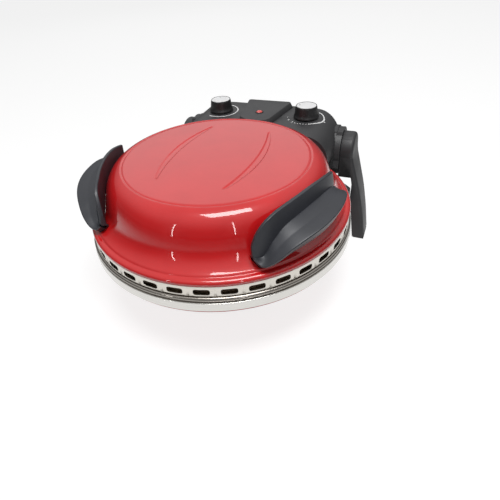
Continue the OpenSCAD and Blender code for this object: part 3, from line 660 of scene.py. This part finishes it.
bpy.ops.transform.translate(value=(0, 0, -SLOT_DROP * MM))
bpy.ops.mesh.select_mode(type="VERT")
bpy.ops.mesh.bevel(offset=SLOT_CORNER * MM, segments=5, affect="VERTICES")
out_of_edit()
slot_area = SLOT_W * SLOT_H * MM * MM
inner = min(band.data.polygons, key=lambda f: abs(f.area - slot_area) * 10
    + max(abs(f.center.x), abs(f.center.z + SLOT_DROP * MM)))
pick(band, lambda f, keep=inner.index: f.index == keep, "FACE")
bpy.ops.mesh.delete(type="FACE")
print("cell is", round(pitch, 2), "mm wide, faces:", len(band.data.polygons))

# %% Cuts across the cell, then its thickness
cuts = 10
for k in range(1, cuts):
    bpy.ops.mesh.select_all(action="SELECT")
    bpy.ops.mesh.bisect(plane_co=((k / cuts - 0.5) * pitch * MM, 0, 0), plane_no=(1, 0, 0))
out_of_edit()
for kind, settings in (
    ("SOLIDIFY", {"thickness": BAND_THICK * MM, "offset": -1}),
    ("BEVEL", {"width": 0.22 * MM, "segments": 2, "limit_method": "ANGLE",
        "angle_limit": math.radians(50)}),
    ("ARRAY", {"count": SLOTS, "use_merge_vertices": True, "merge_threshold": 0.02 * MM}),
    ("SIMPLE_DEFORM", {"deform_method": "BEND", "deform_axis": "Z", "angle": math.tau}),
):
    step = band.modifiers.new(kind.lower(), kind)
    for key, value in settings.items():
        setattr(step, key, value)
    only(band)
    bpy.ops.object.modifier_apply(modifier=step.name)
    if kind == "ARRAY":
        bpy.ops.object.origin_set(type="ORIGIN_GEOMETRY", center="BOUNDS")
        band.location = (0, 0, 0)
xs = [v.co.x for v in band.data.vertices]
ys = [v.co.y for v in band.data.vertices]
print("rolled band:", round((max(xs) - min(xs)) / MM, 2), "x", round((max(ys) - min(ys)) / MM, 2), "mm")

# %% [markdown]
# The hoop lands with its front at the origin, so it is centred, turned until its slots stand where the
# photograph has them, and set on its height.

# %% Band in place
band.location = (0, 0, 0)
bpy.ops.object.transform_apply(location=True, rotation=False, scale=False)
into_edit()
bpy.ops.mesh.select_all(action="SELECT")
middle = Vector((-(max(xs) + min(xs)) / 2, -(max(ys) + min(ys)) / 2, 0))
bpy.ops.transform.translate(value=middle)
out_of_edit()
band.rotation_euler = (0, 0, math.radians(2.1))
band.location = AXIS + Vector((0, 0, (BAND_LOW + BAND_H / 2) * MM))
apply_all(band)
close_up(band)
finish_piece(band, "lid", ["vent_band"], satin_steel, 40)

# %% [markdown]
# ## Inside the lid
# A bright dish lines the dome, and its skirt stands behind the vent slots. The skirt is coloured dark
# brown, partly as heat tint and partly as painted shade, so the slots look dark from outside. The two are
# turned apart, because they have different finishes.

# %% Lid dish and browned skirt
lid_dish_line = rounded([(167.7, DOME), (158.2, DOME, 3), (149, DOME + 10, 6), (140, DOME + 31, 10),
    (129, DOME + 48, 8), (115, DOME + 56, 6), (60, DOME + 56), (0, DOME + 56)])
lid_dish_skin = turned_piece("lid_dish_skin", sheet_of(lid_dish_line, -0.8))
finish_piece(lid_dish_skin, "lid", ["lid_dish"], dish_steel)
skirt = turned_piece("vent_skirt", [(165.9, DOME - 11.6), (165.9, DOME - 0.1), (165.1, DOME - 0.1),
    (165.1, DOME - 11.6)])
finish_piece(skirt, "lid", ["lid_dish"], heat_tint_and_shade_steel)

# %% [markdown]
# ## The heaters
# Each heater is a steel tube bent into an open loop, with two ends that leave to the rear. A circle is
# spun round the body's axis, then round the centre of each bend, and its last ring is pulled out straight.
# The spin operator turns clockwise for a positive angle, so the angles here are negative.

# %% Heater tubes
TUBE_R, BEND_R = 3.25, 10
LOOP_FIRST, LOOP_LAST = 104, 76  # degrees from +X: the loop's two ends, either side of the rear


def heater_tube(name, loop, height, reach):
    """Spins a tube's ring along the loop and both bends, then draws out its two legs."""
    first = math.radians(LOOP_FIRST)
    middle = AXIS + Vector((0, 0, height * MM))
    bpy.ops.object.select_all(action="DESELECT")
    bpy.ops.mesh.primitive_circle_add(vertices=20, radius=TUBE_R * MM, rotation=(math.pi / 2, 0, first),
        location=middle + Vector((math.cos(first), math.sin(first), 0)) * loop * MM)
    tube = bpy.context.object
    tube.name = name
    bpy.ops.object.transform_apply(location=True, rotation=True, scale=True)
    into_edit()
    bpy.ops.mesh.select_all(action="SELECT")
    bpy.ops.mesh.spin(steps=120, angle=-math.radians(360 - LOOP_FIRST + LOOP_LAST), center=middle,
        axis=(0, 0, 1))
    for end, way in ((math.radians(LOOP_LAST), -1), (first, 1)):
        out = Vector((math.cos(end), math.sin(end), 0))
        ring = middle + out * loop * MM
        side = Vector((out.y, -out.x, 0)) * (-way)
        pick(tube, lambda co: (co - ring).length < (TUBE_R + 0.15) * MM
            and abs((co - ring).dot(side)) < 0.01 * MM)
        bpy.ops.mesh.spin(steps=10, angle=-math.pi / 2, center=middle + out * (loop + BEND_R) * MM,
            axis=(0, 0, way))
        bpy.ops.mesh.extrude_region_move(
            TRANSFORM_OT_translate={"value": out * (reach - loop - BEND_R) * MM})
        bpy.ops.mesh.edge_face_add()
    out_of_edit()
    close_up(tube)
    return tube


for name, body, cad, sizes in (("upper_tube", "lid", "upper_heater", (105, 150, 161)),
        ("lower_tube", "base", "lower_heater", (95, 66.6, 165))):
    finish_piece(heater_tube(name, *sizes), body, [cad], heater_steel, 60)

# %% [markdown]
# ## Ring, stone, dish and pan
# The base ring is a polished strip with a groove and a rolled bead on top, and it carries the stone on an
# inner shelf. A bright dish under the stone throws the heat up. The red pan closes the bottom.

# %% Base ring
ring_line = rounded([(174.2, 87), (174.6, 87.4, 0.4), (174.5, 98.2, 0.7), (171.6, 98.7, 0.4),
    (171.4, 99.6, 0.3)])
ring_line += [Vector((171.6, 99.8))] + arc((171.6, 102.5), (2.7, 2.7), -75, 105, 18)
ring_line += rounded([(170.2, 105.3), (168.6, 104.6, 1.2), (168, 92)])
base_hoop = turned_piece("base_hoop", sheet_of(ring_line, 1), steps=240)
shelf = [(148, 89.6), (168.4, 89.6), (168.4, 93), (167.4, 92), (167, 90.6), (148, 90.6)]
stone_shelf = turned_piece("stone_shelf", shelf)
finish_piece(base_hoop, "base", ["base_ring"], polished_steel)
finish_piece(stone_shelf, "base", ["base_ring"], polished_steel)

# %% Stone, lower dish and pan
stone_line = rounded([(0, 90.6), (155, 90.6, 1.5), (155, 102.6, 1.5), (0, 102.6)])
stone_disc = turned_piece("stone_disc", stone_line)
finish_piece(stone_disc, "base", ["baking_stone"], stone, 50)
lower_dish_line = rounded([(164, 89.3), (152, 89.3, 3), (146, 82.6, 4), (118, 52.6, 6),
    (108, 46.6, 6), (0, 46.6)])
lower_dish = turned_piece("lower_dish", sheet_of(lower_dish_line, 0.8))
finish_piece(lower_dish, "base", ["base_dish"], dish_steel)
pan_line = rounded([(0, 22), (106, 22, 8), (116, 29.6, 10), (162.4, 78, 4), (170.4, 82, 3),
    (172.4, 84, 1.4), (172.4, 86.4)])
pan_skin = turned_piece("pan_skin", sheet_of(pan_line, 1.2), steps=192)
finish_piece(pan_skin, "base", ["base_pan"], red_enamel)

# %% [markdown]
# ## The handles
# Each handle is one moulding: a tall thin shield follows the dome, and a grip runs along its foot. The
# shape changes all the way round, so it is a loft. A grid is added with one row for each section and one
# column for each point of it. The points take their places from a few tables of (place along the sweep,
# millimetres) that are read smoothly, so many close rows make an even surface.

# %% Tables along a handle
SHIELD_RIM = [(0, -7), (0.18, -2), (0.42, 0), (0.72, -3.5), (0.88, -10), (0.96, -22), (1, -36)]
SHIELD_OUT = [(0, -1.4), (0.4, -3.4), (0.72, 1), (0.9, 7.5), (1, 9.5)]
SEAT = [(0, 41), (0.45, 41), (0.72, 30), (0.88, 16), (0.95, 13), (1, 22)]
EDGE_IN = [(0, 23), (0.05, 15), (0.2, 6.5), (0.5, 0), (0.74, 1), (0.9, 6), (1, 19)]
EDGE = [(0, 42), (0.1, 50.5), (0.3, 52), (0.58, 47.5), (0.76, 38), (0.88, 24), (0.95, 17), (1, 23.5)]
JOIN = [(0, 47), (0.14, 54.5), (0.36, 55.5), (0.56, 53), (0.72, 48.5), (0.84, 37), (0.92, 24), (1, 26)]
UNDER = [(0, 34), (0.5, 32), (0.74, 25), (0.88, 13.5), (0.95, 10.5), (1, 20)]


def read(table, s):
    """Smooth value of a table at place s."""
    i = max([k for k in range(len(table) - 1) if table[k][0] <= s] or [0])
    def slope(k):
        a, b = table[max(k - 1, 0)], table[min(k + 1, len(table) - 1)]
        return (b[1] - a[1]) / (b[0] - a[0])
    w = table[i + 1][0] - table[i][0]
    u = (s - table[i][0]) / w
    return (table[i][1] * (2 * u ** 3 - 3 * u ** 2 + 1) + slope(i) * w * (u ** 3 - 2 * u ** 2 + u)
        + table[i + 1][1] * (3 * u ** 2 - 2 * u ** 3) + slope(i + 1) * w * (u ** 3 - u ** 2))


wall_line = sorted((p.y - DOME, p.x) for p in [Vector((165, DOME + 8.8))] + flare + shoulder)


def dome_radius(height):
    """Outer radius of the lid at a height over the band."""
    for (h0, r0), (h1, r1) in zip(wall_line, wall_line[1:]):
        if height <= h1:
            return r0 + (r1 - r0) * max(0, height - h0) / (h1 - h0)
    return wall_line[-1][1]


# %% One section of a handle
def round_corners(corners, steps=4):
    """Closed outline from (r, h, radius) corners, each corner replaced by a short curve."""
    outline = []
    for i, corner in enumerate(corners):
        here = Vector(corner[:2])
        back = Vector(corners[i - 1][:2]) - here
        on = Vector(corners[(i + 1) % len(corners)][:2]) - here
        half = back.angle(on, math.pi) / 2
        cut = min(corner[2] / max(0.05, math.tan(half)), back.length * 0.47, on.length * 0.47)
        for k in range(steps + 1):
            t = k / steps
            outline.append(here + back.normalized() * cut * (1 - t) ** 2 + on.normalized() * cut * t ** 2)
    return outline


def grip_section(s, shrink=0):
    """Section at place s along the sweep, drawn in by shrink, as (radius, height over the band)."""
    top = 73 + read(SHIELD_RIM, s)
    shield = 149 + read(SHIELD_OUT, s)
    seat = read(SEAT, s)
    edge = 182 - read(EDGE_IN, s)
    edge_h = read(EDGE, s)
    join = min(read(JOIN, s), top - 2.4)
    under = read(UNDER, s)
    low = min(seat, under + 1)
    k = min(1, (edge_h - under) / 14)
    wall = (seat + join) / 2
    outline = round_corners([
        (dome_radius(low) + 0.3, low, 0.3), (dome_radius(seat) + 0.3, seat, 1.5),
        (max(dome_radius(wall) + 0.3, shield - 3), max(wall, seat + 0.4), 8),
        (shield - 2.2, top, 1.5), (shield + 2.2, top, 1.5), (shield + 5, join - 0.5, 0.8),
        (shield + 5.9, join + 0.5, 0.5), ((shield + edge) / 2 + 2, (join + edge_h) / 2 - 0.5 * k, 12),
        (edge + 0.2, edge_h + 0.2, 2), (edge - 1, edge_h - 3.6 * k, 1),
        (edge - 7, under + 1.4 * k, 4), ((shield + edge) / 2, under, 6), (dome_radius(low) + 4, under, 1),
    ])
    if shrink:
        middle = [outline[i - 1] - outline[(i + 1) % len(outline)] for i in range(len(outline))]
        outline = [p + Vector((w.y, -w.x)).normalized() * -shrink for p, w in zip(outline, middle)]
    return outline


# %% [markdown]
# Both ends of a handle are rounded too. There the section is drawn in a little, row by row, while the
# sweep still moves on, and the last row is filled.

# %% Loft the right handle, then mirror it
SWEEP, GRIP_R = math.radians(53.4), 160


def handle_grip(name, side, rows=84, end=1.2):
    """A grid bent into the loft, with its seam merged and its ends filled."""
    bend = end / GRIP_R / SWEEP
    turns = [math.radians(k * 18) for k in range(6)]
    places = [(bend * (1 - math.sin(t)), end * (1 - math.cos(t))) for t in turns[::-1]]
    places += [(bend + (1 - 2 * bend) * k / rows, 0) for k in range(1, rows)]
    places += [(1 - q, shrink) for q, shrink in places[:6][::-1]]
    points = len(grip_section(0))
    bpy.ops.object.select_all(action="DESELECT")
    bpy.ops.mesh.primitive_grid_add(x_subdivisions=points, y_subdivisions=len(places) - 1, size=1)
    grip = bpy.context.object
    grip.name = name
    sections = [grip_section(s, shrink) for s, shrink in places]
    for v in grip.data.vertices:
        row, column = divmod(v.index, points + 1)
        a = -places[row][0] * SWEEP
        r, h = sections[row][column % points]
        v.co = AXIS + Vector((side * r * math.cos(a), r * math.sin(a), DOME + h)) * MM
    close_up(grip, 0.002)
    into_edit("EDGE")
    bpy.ops.mesh.select_all(action="DESELECT")
    bpy.ops.mesh.select_non_manifold()
    bpy.ops.mesh.edge_face_add()
    out_of_edit()
    close_up(grip, 0.002)
    return grip


for name, side, cad in (("grip_right", 1, "handle_right"), ("grip_left", -1, "handle_left")):
    finish_piece(handle_grip(name, side), "lid", [cad], handle_plastic, 42)

# %% [markdown]
# ## Housing, panel, bracket and legs
# These mouldings already have their form in the solids. What the solids lack is the small radius that every
# moulded edge has, and that radius is what catches the light. So a copy of each solid is merged into one
# skin, its flat faces are joined, and a Bevel modifier rounds the edges.

# %% Copies with rounded edges
def rounded_copy(node, name, width, segments=3, angle=32):
    """A copy of a CAD solid with merged points, joined flats and rounded edges."""
    piece = nodes[node].copy()
    piece.data = piece.data.copy()
    piece.name = name
    piece.parent = None
    for key in list(piece.keys()):
        if key.startswith("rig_"):
            del piece[key]
    bpy.context.scene.collection.objects.link(piece)
    close_up(piece, 0.02)
    into_edit()
    bpy.ops.mesh.select_all(action="SELECT")
    bpy.ops.mesh.dissolve_limited(angle_limit=math.radians(0.6))
    out_of_edit()
    edges = piece.modifiers.new("edges", "BEVEL")
    edges.width = width * MM
    edges.segments = segments
    edges.limit_method = "ANGLE"
    edges.angle_limit = math.radians(angle)
    edges.use_clamp_overlap = True
    edges.miter_outer = "MITER_ARC"
    return piece


def moulded_copy(cad, name, body):
    """A rounded copy in the housing's plastic."""
    return finish_piece(rounded_copy(cad, name, 1.2), body, [cad], housing_plastic)


housing_skin = moulded_copy("control_housing", "housing_skin", "lid")
moulded_copy("centre_panel", "panel_skin", "lid")

# %% [markdown]
# A leg is a thick arm with a large radius along its outer edges. Those edges are found by the normals of
# the faces that meet there: one face looks sideways and the other one doesn't.

# %% Legs
def outer_edges(piece, side):
    """Numbers of the edges where the leg's outer side meets its rim."""
    looks = {}
    for f in piece.data.polygons:
        for key in f.edge_keys:
            looks.setdefault(key, []).append(f.normal.x * side)
    return [e.index for e in piece.data.edges if len(looks[e.key]) == 2
        and max(looks[e.key]) > 0.72 and abs(min(looks[e.key])) < 0.4]


for side, cad, name in ((1, "leg_right", "leg_skin_right"), (-1, "leg_left", "leg_skin_left")):
    leg = rounded_copy(cad, name, 1.6)
    rim = outer_edges(leg, side)
    select_none(leg)
    for index in rim:
        leg.data.edges[index].select = True
    into_edit("EDGE")
    bpy.ops.mesh.bevel(offset=5 * MM, segments=6, affect="EDGES", clamp_overlap=False)
    out_of_edit()
    print(name, "rim edges:", len(rim))
    finish_piece(leg, "base", [cad], housing_plastic, 50)

moulded_copy("rear_bracket", "bracket_skin", "base")

# %% [markdown]
# ## Knobs
# A knob is a turned black body that flares out at its skirt, with a bright disc in a thin grey rim on top.
# A small dark dot shows where it points. Both knobs are turned on their own axes.

# %% Knobs, caps and rims
DIAL_X, DIAL_Y, KNOB_Z = 72, 181, 175.8
knob_line = [(0, 0.2), (18.9, 0.2), (19.4, 0.7), (19.55, 1.6), (19.3, 2.6), (18.7, 3.7), (18.1, 5.0),
    (17.65, 6.8), (17.3, 9.4), (16.9, 13), (16.5, 16.4), (16.25, 17.5), (15.9, 18.15), (15.5, 18.3),
    (0, 18.3)]
rim_line = [(14.9, 18.2), (15.75, 18.2), (15.85, 18.55), (15.7, 18.9), (15.4, 19), (15.15, 18.95),
    (14.95, 18.7)]
dot_line = [(0, 18.5), (1, 18.5), (1, 18.66), (0.85, 18.7), (0, 18.7)]
disc_line = [(0, 18.2), (14.85, 18.2), (14.85, 18.45), (14.7, 18.6), (0, 18.6)]
for side, name, points_to in ((1, "thermostat", 178), (-1, "timer", 120)):
    centre = AXIS + Vector((side * DIAL_X, DIAL_Y, KNOB_Z)) * MM
    knob = turned_piece(name + "_grip", knob_line, centre, 96)
    finish_piece(knob, name, [name + "_knob"], knob_plastic, 40)
    rim = turned_piece(name + "_rim", rim_line, centre, 96)
    finish_piece(rim, name, [name + "_cap"], cap_rim, 40)
    disc = turned_piece(name + "_disc", disc_line, centre, 96)
    finish_piece(disc, name, [name + "_cap"], knob_cap, 40)
    away = math.radians(points_to)
    dot_at = centre + Vector((math.cos(away), math.sin(away), 0)) * 10.4 * MM
    dot = turned_piece(name + "_dot", dot_line, dot_at, 24)
    finish_piece(dot, name, [name + "_cap"], knob_plastic, 40)

# %% [markdown]
# ## Lamp
# The pilot lamp is a small red lens in the middle panel, held by a thin dark collar.

# %% Lamp lens and collar
lamp_at = AXIS + Vector((0, 168, 0)) * MM
lens_line = [(0, 173), (3.5, 173), (3.5, 182.9), (5, 182.9), (5, 183.4)]
lens_line += [(p.x, p.y) for p in arc((0, 183.4), (4.9, 2), 8, 90, 9)]
lens = turned_piece("lamp_dome", lens_line, lamp_at, 48)
finish_piece(lens, "lid", ["lamp_lens"], lamp_red, 40)
collar = turned_piece("lamp_collar", [(5.1, 182.8), (6.6, 182.8), (6.5, 183.5), (6.1, 184), (5.5, 184),
    (5.1, 183.6)], lamp_at, 48)
finish_piece(collar, "lid", ["lamp_lens"], knob_plastic, 40)

# %% [markdown]
# ## Dial prints
# White scales are printed on the housing round both knobs. A short edge is spun round the knob's axis for
# each arc and dash, and the numbers start as text. All of it is pressed onto the curved housing with a
# Shrinkwrap modifier, and gets the thickness of a coat of paint.

# %% Print helpers
def press_on(mark, ground, thick=0.12):
    """Drops a flat mark onto the ground below it and gives it a thin coat's height."""
    only(mark)
    wrap = mark.modifiers.new("wrap", "SHRINKWRAP")
    wrap.target = ground
    wrap.wrap_method = "PROJECT"
    wrap.use_project_z = True
    wrap.use_project_x = wrap.use_project_y = False
    wrap.use_negative_direction = True
    wrap.use_positive_direction = False
    wrap.offset = 0.04 * MM
    coat = mark.modifiers.new("coat", "SOLIDIFY")
    coat.thickness = thick * MM
    coat.offset = 1
    for modifier in list(mark.modifiers):
        bpy.ops.object.modifier_apply(modifier=modifier.name)


def facing_up(mark, distance):
    """Cleans a flat mark and turns its faces upwards."""
    close_up(mark, distance)
    if sum(f.normal.z for f in mark.data.polygons) < 0:
        mark.data.flip_normals()
    return mark


def arc_print(name, centre, inner, outer, first, last):
    """A ring sector between two angles, in degrees from +X and counted anticlockwise."""
    way = Vector((math.cos(math.radians(first)), math.sin(math.radians(first)), 0))
    mark = new_point(name, centre + way * inner * MM)
    bpy.ops.mesh.extrude_region_move(TRANSFORM_OT_translate={"value": way * (outer - inner) * MM})
    bpy.ops.mesh.select_all(action="SELECT")
    bpy.ops.mesh.spin(steps=max(2, int(abs(last - first) / 2.5)), angle=-math.radians(last - first),
        center=centre, axis=(0, 0, 1))
    out_of_edit()
    return facing_up(mark, 0.01)


def number_print(name, figure, centre, radius, angle, height):
    """One figure, upright for somebody who stands in front of the oven."""
    bpy.ops.object.select_all(action="DESELECT")
    way = Vector((math.cos(math.radians(angle)), math.sin(math.radians(angle)), 0))
    bpy.ops.object.text_add(location=centre + way * radius * MM)
    text = bpy.context.object
    text.data.body = figure
    text.data.size = height * MM / 0.72
    text.data.align_x = "CENTER"
    text.data.align_y = "CENTER"
    text.name = name
    bpy.ops.object.convert(target="MESH")
    mark = bpy.context.object
    bpy.ops.object.transform_apply(location=True, rotation=True, scale=True)
    return facing_up(mark, 0.001)


# %% Both scales
right_dial = AXIS + Vector((DIAL_X, DIAL_Y, 190)) * MM
left_dial = AXIS + Vector((-DIAL_X, DIAL_Y, 190)) * MM
prints = [arc_print("dial_arc_right", right_dial, 26.6, 28.6, -69, 56),
    arc_print("dial_arc_left", left_dial, 26.6, 28.6, -112, 75),
    arc_print("dial_tick_right", right_dial, 29, 31.4, -11, -8)]
for k in range(5):
    prints.append(arc_print("dial_dash_" + str(k), right_dial, 26.9, 28.3, -79 - 9 * k, -74 - 9 * k))
for k, figure in enumerate("321"):
    prints.append(number_print("dial_number_" + figure, figure, right_dial, 28.4, -124 - 22 * k, 4.8))
for mark in prints:
    press_on(mark, housing_skin)
    finish_piece(mark, "lid", [], print_white, 30)

# %% [markdown]
# ## Finishes on the solids that stay
# Screws, pins, clips and the other small solids are right as they are. Only their finish changes, so it is
# assigned to the slots that they already have.

# %% Finish the CAD nodes
STAYS = {
    "upper_clips": dish_steel, "lower_clips": dish_steel, "sensor_tube": dish_steel,
    "handle_screws": zinc, "cover_screws": zinc, "bracket_screws": zinc, "hinge_pins": zinc,
    "housing_cover": housing_plastic, "lamp_body": inner_plastic, "thermostat_body": inner_plastic,
    "timer_body": inner_plastic, "cord_gland": foot_rubber, "thermostat_shaft": zinc, "timer_shaft": zinc,
    "front_feet": foot_rubber, "leg_pads": foot_rubber,
}
for name, finish in STAYS.items():
    solid = nodes[name]
    if not solid.material_slots:
        solid.data.materials.append(finish)
    for slot in solid.material_slots:
        slot.material = finish
print("solids that stay:", len(STAYS))
